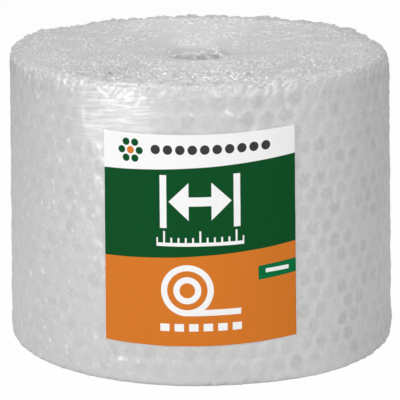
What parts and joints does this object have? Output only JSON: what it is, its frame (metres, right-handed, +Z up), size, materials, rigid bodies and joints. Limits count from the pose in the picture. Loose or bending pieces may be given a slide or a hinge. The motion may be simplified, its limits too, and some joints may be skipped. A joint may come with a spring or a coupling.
{
  "type": "bubble wrap roll",
  "caption": "Roll of air bubble film standing on its end, with an open hole through its middle and a printed paper label on its wall.",
  "frame": {"origin": "centre of the end that the roll stands on", "axes": "+Z up along the hole's axis, the label faces -Y, +X to the right when the label is seen from the front"},
  "size_m": [0.4004, 0.3995, 0.3],
  "materials": {
    "bubble_film": "clear film that looks milky in many turns, glossy",
    "label_paper": "smooth white paper",
    "upper_field": "printed dark green",
    "lower_field": "printed orange",
    "flag": "printed green",
    "marks": "unprinted white left in the fields",
    "header_marks": "printed dark grey"
  },
  "bodies": {
    "root": {"bubble_film_roll": "bubble_film", "label": "label_paper"}
  },
  "joints": []
}
